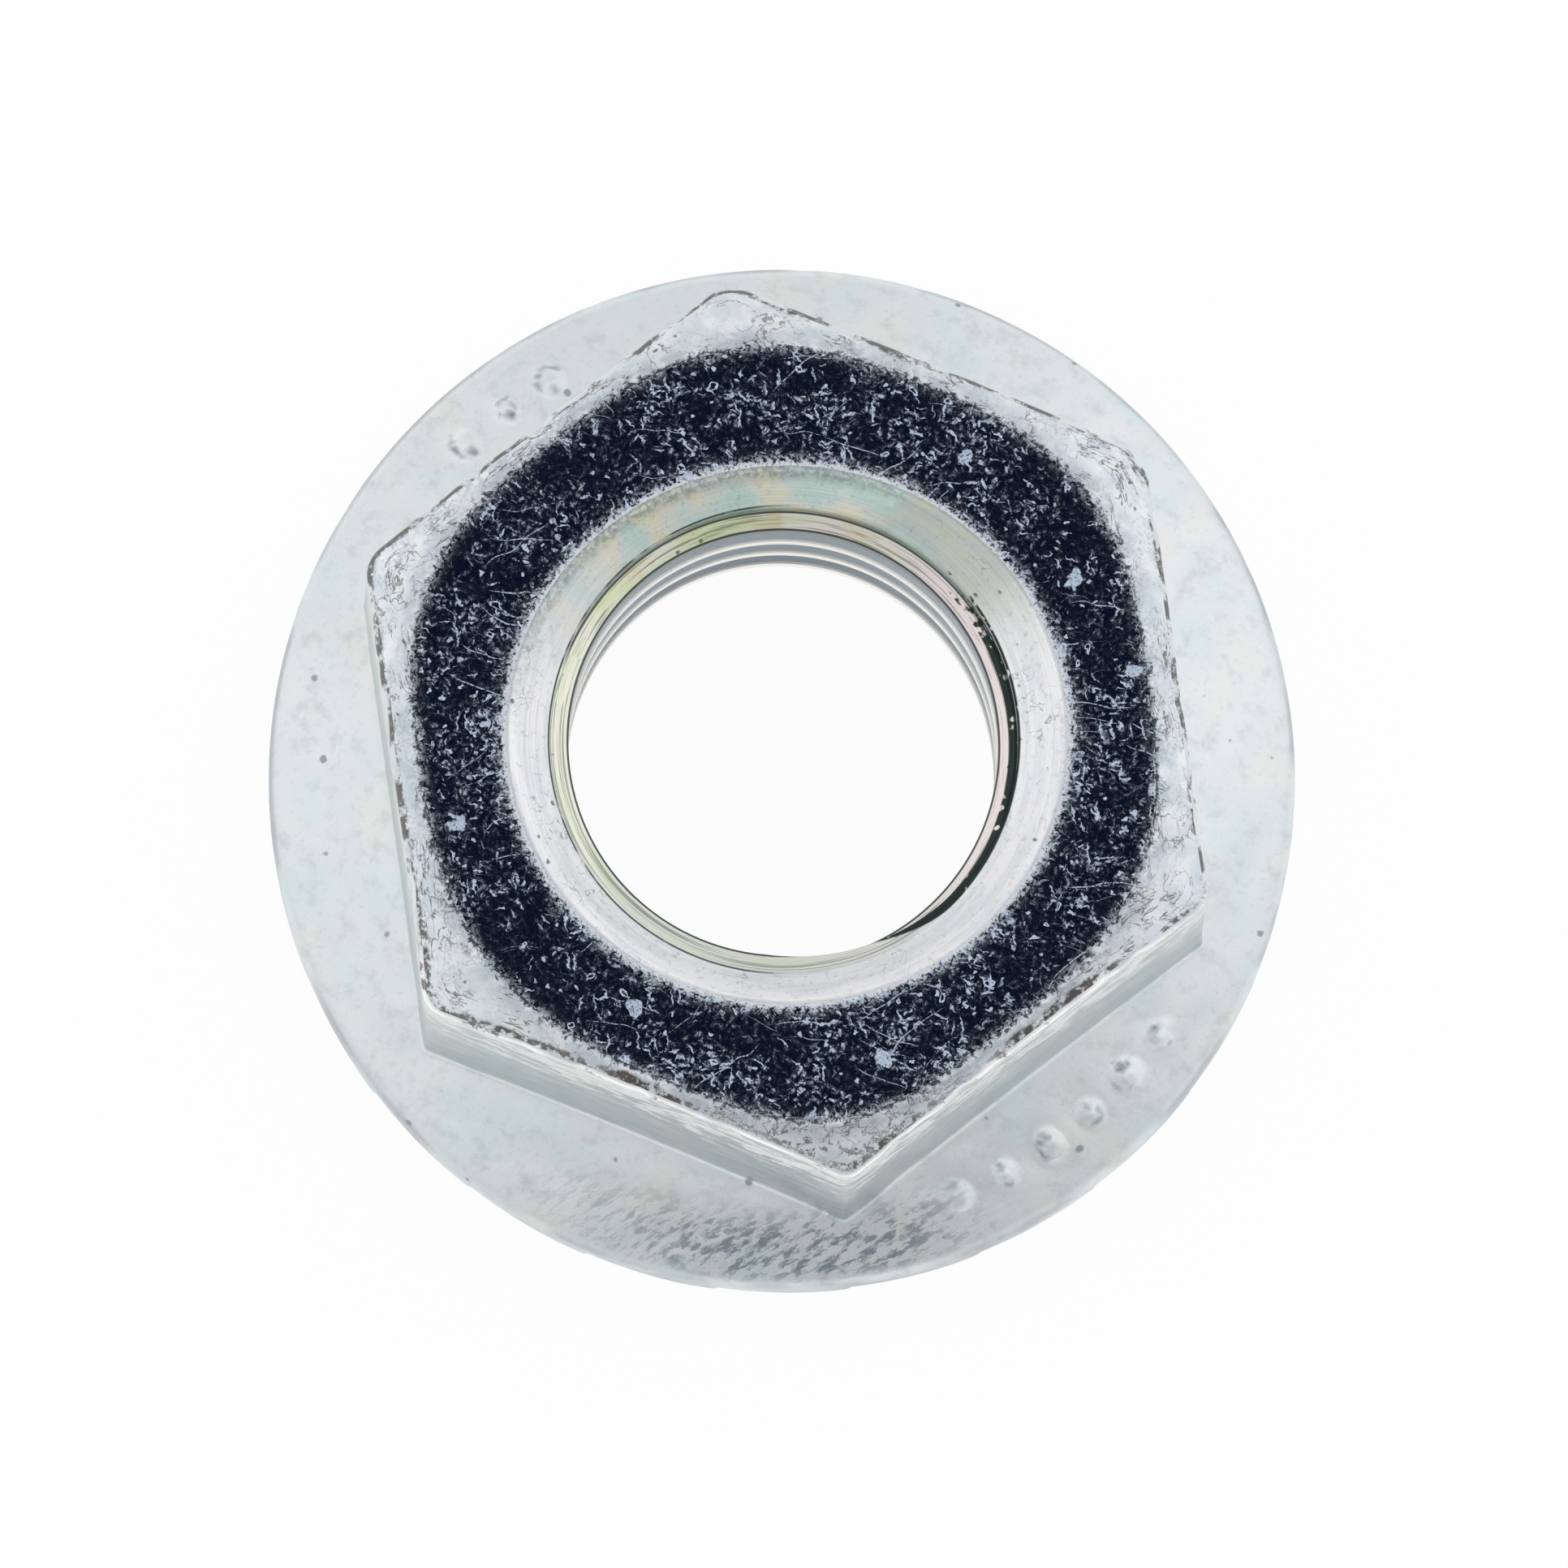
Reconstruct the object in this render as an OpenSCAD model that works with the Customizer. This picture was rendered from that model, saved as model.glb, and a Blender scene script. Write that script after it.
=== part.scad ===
// Hexagon flange lock nut with a coarse 3/8-16 thread, forged in one piece.
// A chamfered hexagon stands on a round flange with a coned upper side. The
// underside of the flange carries ratchet serrations that slide when the nut
// is tightened and bite when it is turned back.
// Millimetres. +Z runs up the thread axis, z = 0 is the bearing face, and two
// corners of the hexagon lie on the X axis.

/* [Hexagon] */
// Width across the flats
across_flats = 14.25; // [13.6:0.05:16]
// Height from the bearing face to the top face
nut_height = 8.6; // [7.5:0.1:12]
// Radius on the six upright corners
corner_round = 0.7; // [0.2:0.05:1.5]
// Diameter at which the corner chamfer leaves the top face
top_face_d = 13.7; // [12:0.05:14]
// Slope of the corner chamfer, in degrees below level
chamfer_slope = 30; // [20:1:40]
// Radius where the top face turns into the chamfer
top_edge_round = 0.6; // [0.1:0.05:1]

/* [Flange] */
// Diameter of the flange
flange_d = 18.65; // [17.5:0.05:22]
// Height at which the rim's upright edge would meet the cone
rim_height = 1.15; // [0.9:0.05:1.8]
// Radius on the upper edge of the rim
rim_upper_round = 0.3; // [0.1:0.05:0.6]
// Radius on the lower edge of the rim
rim_lower_round = 0.2; // [0.05:0.05:0.3]
// Slope of the flange's upper side, in degrees above level
flange_slope = 22; // [12:1:30]
// Radius of the cove where the flange sweeps up into the flats
root_cove = 0.3; // [0.2:0.05:0.6]

/* [Bore] */
// Minor diameter of the thread, which is the wall of the bore
minor_d = 7.86; // [6.5:0.01:8.6]
// Diameter of the top countersink, measured at the top face
top_sink_d = 9.95; // [9.2:0.05:11]
// Diameter of the lower countersink, measured at the bearing face
seat_sink_d = 9.9; // [9.2:0.05:10.2]
// Slope of the top countersink, in degrees from level
top_sink_slope = 30; // [25:1:50]
// Slope of the lower countersink, in degrees from level
seat_sink_slope = 60; // [30:1:65]
// Radius where the top face rolls into the countersink
lip_round = 0.6; // [0.1:0.05:1]

/* [Serrations] */
// Number of ratchet teeth on the bearing face
serration_count = 24; // [16:1:30]
// Diameter of the plain ring from which the serrations run outward
serration_d = 10.6; // [10.4:0.1:13]
// Depth of a serration at the rim
serration_depth = 0.35; // [0.1:0.05:0.5]
// Width of the flat crest of a tooth at the rim
serration_land = 0.55; // [0.3:0.05:0.9]
// Slope of a tooth's biting flank, in degrees from level
bite_slope = 75; // [60:1:85]

/* [Hidden] */

$fn = 120;

// How far cutters and envelopes run past the solid that they shape
past = 1;
// Slope of the upper end of the cove, steep enough to run into the flats
cove_slope = 75;
// An arc is drawn this much over its radius, so that it crosses the faces it
// joins instead of only touching them
arc_over = 1.005;

flat_r = across_flats / 2;
corner_r = flat_r / cos(30);
flange_r = flange_d / 2;
top_face_r = top_face_d / 2;
minor_r = minor_d / 2;
top_sink_r = top_sink_d / 2;
seat_sink_r = seat_sink_d / 2;
serration_r = serration_d / 2;

top_sink_depth = (top_sink_r - minor_r) * tan(top_sink_slope);
seat_sink_depth = (seat_sink_r - minor_r) * tan(seat_sink_slope);

// Height of the flange's cone at the middle of a flat
root_z = rim_height + (flange_r - flat_r) * tan(flange_slope);
// Where the cove's steep end stops, inside the hexagon
cove_run = root_cove;
cove_top = [flat_r - cove_run, root_z + cove_run * tan(cove_slope)];

// A groove deepens from nothing at the plain ring to its full depth at the rim
groove_reach = flange_r - serration_r;
groove_tilt = atan(serration_depth / groove_reach);
tooth_pitch = PI * flange_d / serration_count;
bite_run = 1 / tan(bite_slope);
ramp_run = (tooth_pitch - serration_land) / serration_depth - bite_run;

// Rounding of an outline's corner b, which comes after a and before c

function unit(v) = v / norm(v);

function turn_angle(a, b, c) = acos(unit(b - a) * unit(c - b));

function is_convex(a, b, c) = cross(b - a, c - b) > 0;

function tangent_length(a, b, c, r) = r * tan(turn_angle(a, b, c) / 2);

function arc_start(a, b, c, r) = b - unit(b - a) * tangent_length(a, b, c, r);

function arc_end(a, b, c, r) = b + unit(c - b) * tangent_length(a, b, c, r);

function arc_centre(a, b, c, r) =
    let (ahead = unit(b - a), side = is_convex(a, b, c) ? r : -r)
    arc_start(a, b, c, r) + side * [-ahead.y, ahead.x];

function before(points, i) = points[(i + len(points) - 1) % len(points)];

function after(points, i) = points[(i + 1) % len(points)];

function corner_path(a, b, c, r) =
    r == 0 ? [b]
    : is_convex(a, b, c) ? [arc_start(a, b, c, r), arc_end(a, b, c, r)]
    : [arc_start(a, b, c, r), arc_centre(a, b, c, r), arc_end(a, b, c, r)];

// The arcs of one kind, convex or concave, as full circles in their places
module corner_arcs(points, radii, convex)
{
    for (i = [0 : len(points) - 1]) {
        a = before(points, i);
        b = points[i];
        c = after(points, i);
        if (radii[i] > 0 && is_convex(a, b, c) == convex)
            translate(arc_centre(a, b, c, radii[i]))
                circle(r = radii[i] * arc_over);
    }
}

// An anticlockwise outline with a radius on each corner, 0 for a sharp one
module soft_outline(points, radii)
{
    difference() {
        union() {
            polygon([
                for (i = [0 : len(points) - 1])
                    each corner_path(before(points, i), points[i], after(points, i), radii[i])
            ]);
            corner_arcs(points, radii, true);
        }
        corner_arcs(points, radii, false);
    }
}

// Upright hexagon with rounded corners, as tall as the nut
module hexagon()
{
    corners = [for (i = [0 : 5]) corner_r * [cos(60 * i), sin(60 * i)]];
    linear_extrude(nut_height)
        soft_outline(corners, [for (corner = corners) corner_round]);
}

// Round flange: rounded rim, coned upper side and the cove into the flats
module flange()
{
    rotate_extrude()
        soft_outline(
            [
                [0, 0],
                [flange_r, 0],
                [flange_r, rim_height],
                [flat_r, root_z],
                cove_top,
                [0, cove_top.y],
            ],
            [0, rim_lower_round, rim_upper_round, root_cove, 0, 0]
        );
}

// Everything turned about the axis: bore, countersinks, top face and chamfer
module turned_envelope()
{
    reach_r = flange_r + past;
    chamfer_z = nut_height - (reach_r - top_face_r) * tan(chamfer_slope);
    rotate_extrude()
        soft_outline(
            [
                [minor_r, seat_sink_depth],
                [seat_sink_r, 0],
                [reach_r, 0],
                [reach_r, chamfer_z],
                [top_face_r, nut_height],
                [top_sink_r, nut_height],
                [minor_r, nut_height - top_sink_depth],
            ],
            [0, 0, 0, 0, top_edge_round, lip_round, 0]
        );
}

// One ratchet groove along +X: a steep biting flank, then a long ramp
module serration_groove()
{
    cut = serration_depth + past;
    translate([serration_r, 0, 0])
        rotate([0, -groove_tilt, 0])
            rotate([90, 0, 90])
                linear_extrude(groove_reach + 2 * past)
                    polygon([[0, 0], [-cut * bite_run, -cut], [cut * ramp_run, -cut]]);
}

module flange_nut()
{
    color("silver")
        difference() {
            intersection() {
                turned_envelope();
                union() {
                    hexagon();
                    flange();
                }
            }
            for (i = [0 : serration_count - 1])
                rotate([0, 0, i * 360 / serration_count])
                    serration_groove();
        }
}

flange_nut();
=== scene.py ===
import math
import random

import bpy
import numpy as np
from mathutils import Matrix, Vector


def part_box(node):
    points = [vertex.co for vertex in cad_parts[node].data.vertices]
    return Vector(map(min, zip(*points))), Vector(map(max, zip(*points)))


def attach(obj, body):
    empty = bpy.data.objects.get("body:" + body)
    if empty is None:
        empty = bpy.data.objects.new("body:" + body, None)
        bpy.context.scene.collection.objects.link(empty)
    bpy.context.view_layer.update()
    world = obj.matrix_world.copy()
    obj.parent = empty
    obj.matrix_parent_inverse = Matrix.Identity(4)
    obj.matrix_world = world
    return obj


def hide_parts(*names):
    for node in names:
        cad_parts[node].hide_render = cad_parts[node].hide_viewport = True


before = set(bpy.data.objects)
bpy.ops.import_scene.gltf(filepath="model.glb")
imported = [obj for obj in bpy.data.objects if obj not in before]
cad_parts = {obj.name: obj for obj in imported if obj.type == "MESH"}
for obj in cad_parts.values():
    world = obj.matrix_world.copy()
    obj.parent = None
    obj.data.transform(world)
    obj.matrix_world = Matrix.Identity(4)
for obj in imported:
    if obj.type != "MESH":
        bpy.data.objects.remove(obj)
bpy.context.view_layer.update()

# Sizes of the nut in millimetres, in the frame of the solid: z = 0 on the bearing face
MM = 0.001
TINY = 1e-12
nut_low, nut_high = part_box("flange_nut")
FLANGE_R = (nut_high.x - nut_low.x) / 2 / MM
NUT_HEIGHT = (nut_high.z - nut_low.z) / MM
FLAT_R = 14.25 / 2
CORNER_ROUNDS = (0.60, 1.00, 0.70, 0.65, 0.50, 0.40)
FOOT_ROUNDS = (0.10,) * 6
TOP_FACE_R = 6.79
# How far the top face reaches past its radius, at every 30 degrees from the first corner
TOP_FACE_GAINS = (0.18, -0.13, 0.19, 0.02, 0.25, 0.02, 0.27, -0.04, 0.17, 0.07, 0.46, 0.03)
CHAMFER_SLOPE = math.radians(30)
TOP_EDGE_ROUND = 0.45
HEX_EDGE_ROUND = 0.16
RIM_HEIGHT = 1.15
RIM_UPPER_ROUND = 0.3
RIM_LOWER_ROUND = 0.2
FLANGE_SLOPE = math.radians(22)
ROOT_ROUND = 0.14
RIM_STRIPS = 3
SHARP_ANGLE = math.radians(35)

# Angles round the nut, in degrees, that point to the four sides of the picture
PHOTO_RIGHT = 22
PHOTO_TOP = 112
PHOTO_LEFT = 202
PHOTO_BOTTOM = 292

# Countersinks: the upper one is a little oval and off the axis
SINK_SLOPE = math.radians(30)
SINK_R = 4.88
SINK_OVAL = 0.09
SINK_OVAL_TURN = math.radians(PHOTO_RIGHT)
SINK_SHIFT = 0.13
SINK_SHIFT_TURN = math.radians(PHOTO_BOTTOM)
SEAT_SINK_SLOPE = math.radians(60)
SEAT_SINK_R = 4.95
LIP_ROUND = 0.35
SEAT_LIP_ROUND = 0.15
# Radius at which both cones are measured, strips on the upper one, and steps in the search for its foot
PLAIN_SINK_R = 4.30
CONE_STRIPS = 5
FOOT_STEPS = 800

# Thread: right-handed, sixteen turns to the inch, tapped a little off the axis of the hexagon
PITCH = 25.4 / 16
MINOR_R = 3.88
MAJOR_R = 9.525 / 2
MOUTH_R = 4.22
MOUTH_DEPTH = 0.75
THREAD_START = 0.635
THREAD_SHIFT = 0.19
THREAD_SHIFT_TURN = math.radians(276)
THREAD_X = THREAD_SHIFT * math.cos(THREAD_SHIFT_TURN)
THREAD_Y = THREAD_SHIFT * math.sin(THREAD_SHIFT_TURN)
CREST_END = 1 / 8
ROOT_START = 7 / 16
# Points of the thread that lie this near to a countersink's edge are joined to it
SNAP = 0.01

# Serrations under the flange
TEETH = 24
SERRATION_R = 5.3
SERRATION_DEPTH = 0.35
SERRATION_LAND = 0.55
BITE_RUN = 1 / math.tan(math.radians(75))
TOOTH_ANGLE = 2 * math.pi / TEETH
RAMP_RUN = (TOOTH_ANGLE * FLANGE_R - SERRATION_LAND) / SERRATION_DEPTH - BITE_RUN
ANGLES_PER_TOOTH = 24
CORNER_CROWDING = 1.5

# Raised pips on the flange, in two rows given by middle angle and count
PIP_ROWS = ((331, 6), (149, 3))
PIP_STEP = 6.6
PIP_REACH = 8.35
PIP_RADII = (0.27, 0.20)
PIP_HEIGHT = 0.12
# Shares of a pip's radius at which its crown ends and its foot stands, and where all pips fade on the rim
PIP_CROWN = 0.55
PIP_FOOT = 1.2
PIP_FADE_FROM = RIM_HEIGHT * 0.8
PIP_FADE_TO = PIP_FADE_FROM + 0.3

# Knocks on the hexagon's upper edge and on the rim: how many, and the smallest and largest size
WEAR_SEED = 7
EDGE_KNOCKS = 90
EDGE_KNOCK_SIZES = (0.06, 0.22)
RIM_KNOCKS = 14
RIM_KNOCK_SIZES = (0.1, 0.25)
RIM_KNOCK_HEIGHT = RIM_HEIGHT - 0.2

# Waves left by the forging, which fade in and out at these radii and lie over this height
WAVE_HEIGHT = 0.012
WAVELENGTH = 1.3
WAVES = 20
WAVE_FADE_IN = (7.3, 7.8)
WAVE_FADE_OUT = (8.7, 9.1)
WAVE_LOW = 0.9


def unit(vectors):
    return vectors / np.linalg.norm(vectors, axis=-1, keepdims=True)


def smooth(low, high, value):
    t = np.clip((value - low) / (high - low), 0, 1)
    return t * t * (3 - 2 * t)


def spread_angles():
    """Angles round the nut: a line on every tooth edge, and more of them near the corners."""
    bite = SERRATION_DEPTH * BITE_RUN / FLANGE_R / TOOTH_ANGLE
    even = np.linspace(0, 1, ANGLES_PER_TOOTH - 1)
    teeth_per_side = TEETH // 6
    angles = []
    for tooth in range(TEETH):
        place = tooth % teeth_per_side
        ramp = even
        if place == 0:
            ramp = even ** CORNER_CROWDING
        elif place == teeth_per_side - 1:
            ramp = 1 - (1 - even) ** CORNER_CROWDING
        steps = np.append(ramp * (1 - bite), 1 - bite / 2)
        angles.append((tooth + steps) * TOOTH_ANGLE)
    return np.concatenate(angles)


def hexagon_reach(angle, rounds=CORNER_ROUNDS):
    """Distance from the axis to the rounded hexagon's wall. Corners lie at multiples of 60 degrees."""
    sixth = math.pi / 3
    corner = np.round(angle / sixth)
    off = np.abs(angle - corner * sixth)
    radius = np.array(rounds)[corner.astype(int) % 6]
    centre = (FLAT_R - radius) / math.cos(sixth / 2)
    tangent = np.arctan2(radius * math.sin(sixth / 2), centre + radius * math.cos(sixth / 2))
    arc = centre * np.cos(off) + np.sqrt(np.maximum(radius ** 2 - (centre * np.sin(off)) ** 2, 0))
    flat = FLAT_R / np.cos(sixth / 2 - off)
    return np.where(off < tangent, arc, flat)


def round_corner(before, corner, after, radius, steps):
    """Points of the arc that rounds each profile's corner, from tangent point to tangent point."""
    ahead = unit(corner - before)
    beyond = unit(after - corner)
    side = np.sign(ahead[:, 0] * beyond[:, 1] - ahead[:, 1] * beyond[:, 0])
    turn = np.arccos(np.clip((ahead * beyond).sum(1), -1, 1))
    start = corner - ahead * (radius * np.tan(turn / 2))[:, None]
    normal = np.stack([-ahead[:, 1], ahead[:, 0]], 1) * side[:, None]
    centre = start + normal * radius
    points = []
    for share in np.linspace(0, 1, steps + 1):
        swing = turn * share
        inward = normal * (radius * np.cos(swing))[:, None]
        points.append(centre - inward + ahead * (radius * np.sin(swing))[:, None])
    return points


def serration_height(reach, angle):
    """Height of the grooves' surface over the bearing plane."""
    height = np.zeros_like(reach)
    first = np.floor(angle / TOOTH_ANGLE)
    for groove in (first, first + 1):
        off = angle - groove * TOOTH_ANGLE
        along = reach * np.cos(off)
        across = reach * np.sin(off)
        depth = SERRATION_DEPTH * (along - SERRATION_R) / (FLANGE_R - SERRATION_R)
        fall = np.where(across > 0, across / RAMP_RUN, -across / BITE_RUN)
        height = np.maximum(height, depth - fall)
    return height


def lip_reach(angle):
    """Radius at which the upper countersink meets the top face."""
    oval = SINK_OVAL * np.cos(2 * (angle - SINK_OVAL_TURN))
    return SINK_R + oval + SINK_SHIFT * np.cos(angle - SINK_SHIFT_TURN)


def cone_level(angle):
    """Height of the upper countersink's cone at its plain radius."""
    return NUT_HEIGHT - (lip_reach(angle) - PLAIN_SINK_R) * math.tan(SINK_SLOPE)


def thread_rows():
    """Places of the rows within one pitch: edges of crest and root, the mouth's radius, and steps between."""
    deep = (MOUTH_R - MINOR_R) / (MAJOR_R - MINOR_R)
    mouth = CREST_END + deep * (ROOT_START - CREST_END)
    down = np.concatenate([np.linspace(CREST_END, mouth, 3), np.linspace(mouth, ROOT_START, 4)[1:]])
    return np.concatenate([[0], down, 1 - down[::-1]])


def thread_reach(turn):
    """Radius of the thread's wall: flat roots and crests, flanks at 60 degrees."""
    from_crest = 0.5 - np.abs(turn - np.floor(turn) - 0.5)
    cut = np.clip((from_crest - CREST_END) / (ROOT_START - CREST_END), 0, 1)
    return MINOR_R + cut * (MAJOR_R - MINOR_R)


def thread_cut(angle, z, from_end):
    """Radius that the thread is cut to. Near both ends of the bore it goes no deeper than the mouth."""
    mouth = MOUTH_R + np.maximum(from_end - MOUTH_DEPTH, 0)
    return np.minimum(thread_reach(z / PITCH + THREAD_START - angle / (2 * math.pi)), mouth)


def sink_foot(angle):
    """Inner edge of the upper countersink, where its cone runs into the thread: radius and height."""
    fall = math.tan(SINK_SLOPE)
    depth = np.linspace(0, (PLAIN_SINK_R - MINOR_R) * fall, FOOT_STEPS)
    cone = PLAIN_SINK_R - depth / fall
    z = cone_level(angle) - depth[:, None]
    met = thread_cut(angle, z, depth[:, None]) >= cone[:, None] - TINY
    first = met.argmax(0)
    return cone[first], cone_level(angle) - depth[first]


def top_reach(angle):
    """Radius at which the chamfer leaves the top face, larger toward the corners and worn unevenly."""
    gains = np.array(TOP_FACE_GAINS)
    step = angle / (2 * math.pi) * len(gains)
    first = np.floor(step).astype(int)
    share = (1 - np.cos(math.pi * (step - first))) / 2
    return TOP_FACE_R + gains[first % len(gains)] * (1 - share) + gains[(first + 1) % len(gains)] * share


def outer_rows(angle):
    """Profiles from the top countersink over the outside to the lower one, and each strip's zone."""
    def ring(reach, z):
        pair = np.broadcast_to(reach, angle.shape), np.broadcast_to(z, angle.shape)
        return np.stack(pair, 1).astype(float)

    wall = hexagon_reach(angle)
    foot = hexagon_reach(angle, FOOT_ROUNDS)
    sink = lip_reach(angle)
    top_face = top_reach(angle)
    foot_z = RIM_HEIGHT + (FLANGE_R - foot) * math.tan(FLANGE_SLOPE)
    corners = [
        ring(*sink_foot(angle)),
        ring(sink, NUT_HEIGHT),
        ring(top_face, NUT_HEIGHT),
        ring(wall, NUT_HEIGHT - (wall - top_face) * math.tan(CHAMFER_SLOPE)),
        ring(foot, foot_z),
        ring(FLANGE_R, RIM_HEIGHT),
        ring(FLANGE_R, 0),
        ring(SEAT_SINK_R, 0),
        ring(PLAIN_SINK_R, (SEAT_SINK_R - PLAIN_SINK_R) * math.tan(SEAT_SINK_SLOPE)),
    ]
    # Radius of each corner, steps on its arc, and the zone of the arc
    arcs = [
        (LIP_ROUND, 6, "bore"),
        (TOP_EDGE_ROUND, 6, "chamfer"),
        (HEX_EDGE_ROUND, 4, "edge"),
        (ROOT_ROUND, 5, "flange"),
        (RIM_UPPER_ROUND, 6, "flange"),
        (RIM_LOWER_ROUND, 4, "seat"),
        (SEAT_LIP_ROUND, 3, "seat"),
    ]
    # Strips and zone of each straight stretch between the corners
    stretches = [
        (CONE_STRIPS, "bore"),
        (8, "top"),
        (4, "chamfer"),
        (6, "flat"),
        (18, "flange"),
        (RIM_STRIPS, "flange"),
        (8, "seat"),
        (1, "bore"),
    ]
    rows = [corners[0]]
    zones = []
    for i, (strips, zone) in enumerate(stretches):
        arc = []
        target = corners[i + 1]
        if i < len(arcs):
            radius, steps, arc_zone = arcs[i]
            arc = round_corner(corners[i], corners[i + 1], corners[i + 2], radius, steps)
            target = arc[0]
        here = rows[-1]
        for k in range(1, strips + 1):
            rows.append(here + (target - here) * (k / strips))
            zones.append(zone)
        for row in arc[1:]:
            rows.append(row)
            zones.append(arc_zone)
    return rows, zones


def bore_surface(angle, bottom, foot, bottom_ids, top_ids, first_id):
    """Thread with rows along the helix, cut off by both countersinks: points, faces, depth under the cone."""
    fall = math.tan(SINK_SLOPE)
    steps = thread_rows()
    first = math.floor(bottom.min() / PITCH + THREAD_START) - 1
    last = math.ceil(foot.max() / PITCH + THREAD_START) + 1
    turns = np.concatenate([steps + k for k in range(first, last)])
    z = (turns[:, None] - THREAD_START + angle[None, :] / (2 * math.pi)) * PITCH

    top = cone_level(angle)
    lower = PLAIN_SINK_R - (z - bottom) / math.tan(SEAT_SINK_SLOPE)
    upper = PLAIN_SINK_R - (top - z) / fall
    cut = thread_cut(angle, z, np.minimum(z - bottom, top - z))
    reach = np.maximum(cut, np.maximum(lower, upper))

    inside = (z > bottom + SNAP) & (z < foot - SNAP)
    ids = np.where(z <= bottom + SNAP, bottom_ids, top_ids)
    ids[inside] = first_id + np.arange(inside.sum())
    x = reach * np.cos(angle) + THREAD_X
    y = reach * np.sin(angle) + THREAD_Y
    points = np.stack([x, y, z], 2)[inside]
    under = (top - (PLAIN_SINK_R - reach) * fall - z)[inside]

    # One turn on, each row continues as the row that lies a pitch higher
    beyond = np.full(len(turns), top_ids[0])
    beyond[:-len(steps)] = ids[len(steps):, 0]
    wide = np.concatenate([ids, beyond[:, None]], 1)
    faces = []
    for i in range(len(turns) - 1):
        for j in range(len(angle)):
            ring = [wide[i, j], wide[i + 1, j], wide[i + 1, j + 1], wide[i, j + 1]]
            face = [int(v) for k, v in enumerate(ring) if v != ring[k - 1]]
            if len(face) > 2:
                faces.append(face)
    return points, faces, np.maximum(under, 0)


def flange_pips(reach, angle):
    """Raised round pips on the flange's cone: how much of its full height the surface has there."""
    share = np.zeros_like(reach)
    for middle, count in PIP_ROWS:
        for k in range(count):
            turn = math.radians(middle + PIP_STEP * (k - (count - 1) / 2))
            radius = PIP_RADII[k % 2]
            along = np.angle(np.exp(1j * (angle - turn))) * PIP_REACH
            distance = np.hypot(along, reach - PIP_REACH)
            share = np.maximum(share, 1 - smooth(radius * PIP_CROWN, radius * PIP_FOOT, distance))
    return share


def nut_surface():
    """The whole nut as one closed surface: points, faces, zones of the faces and notes on the points."""
    angle = spread_angles()
    count = len(angle)
    rows, row_zones = outer_rows(angle)
    profile = np.array(rows)
    reach = profile[..., 0].copy()
    z = profile[..., 1].copy()
    turn = np.broadcast_to(angle, reach.shape)
    bottom = z[-1].copy()

    first_seat = row_zones.index("seat")
    last_seat = len(row_zones) - 1 - row_zones[::-1].index("seat")
    # The grooves fade out up the rim
    grooved = slice(first_seat - RIM_STRIPS - 1, last_seat + 1)
    groove = serration_height(reach[grooved], turn[grooved])
    z[grooved] += groove * (1 - z[grooved] / z[grooved.start].max())

    on_flange = np.array(row_zones + ["bore"]) == "flange"
    pips = np.zeros_like(reach)
    pips[on_flange] = flange_pips(reach[on_flange], turn[on_flange])
    pips *= smooth(PIP_FADE_FROM, PIP_FADE_TO, z)
    reach += pips * PIP_HEIGHT * math.sin(FLANGE_SLOPE)
    z += pips * PIP_HEIGHT * math.cos(FLANGE_SLOPE)

    outside = np.stack([reach * np.cos(turn), reach * np.sin(turn), z], 2)
    # The bore's rows lie round the thread's axis, and the cone between leans over to it
    shares = {row: 1 - row / CONE_STRIPS for row in range(CONE_STRIPS)}
    shares[-1] = 1.0
    for row, share in shares.items():
        outside[row, :, :2] += np.array([THREAD_X, THREAD_Y]) * share
    ids = np.arange(outside.shape[0] * count).reshape(-1, count)
    here = ids[:-1]
    below = ids[1:]
    quads = np.stack([here, below, np.roll(below, -1, 1), np.roll(here, -1, 1)], 2)
    faces = quads.reshape(-1, 4).tolist()
    zones = [zone for zone in row_zones for _ in range(count)]

    bore, bore_faces, under = bore_surface(angle, bottom, z[0], ids[-1], ids[0], ids.size)
    points = np.concatenate([outside.reshape(-1, 3), bore])
    zones += ["bore"] * len(bore_faces)
    notes = {
        "pip_foot": np.concatenate([(4 * pips * (1 - pips)).ravel(), np.zeros(len(bore))]),
        "under_cone": np.concatenate([np.zeros(ids.size), under]),
    }
    return points, faces + bore_faces, zones, notes


def point_normals(points, faces):
    """Outward normals of the points, from the faces round them."""
    corners = np.array([face[:3] for face in faces])
    a, b, c = (points[corners[:, k]] for k in range(3))
    face_normals = np.cross(b - a, c - a)
    normals = np.zeros_like(points)
    for k in range(3):
        np.add.at(normals, corners[:, k], face_normals)
    return unit(normals + TINY)


def ripples(points, chance):
    """A gentle uneven wave between about -1 and 1."""
    height = np.zeros(len(points))
    for _ in range(WAVES):
        heading = np.array([chance.gauss(0, 1) for _ in range(3)])
        heading *= 2 * math.pi / WAVELENGTH / np.linalg.norm(heading) * chance.uniform(0.6, 1.4)
        height += np.sin(points @ heading + chance.uniform(0, 2 * math.pi))
    return height / math.sqrt(WAVES)


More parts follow.
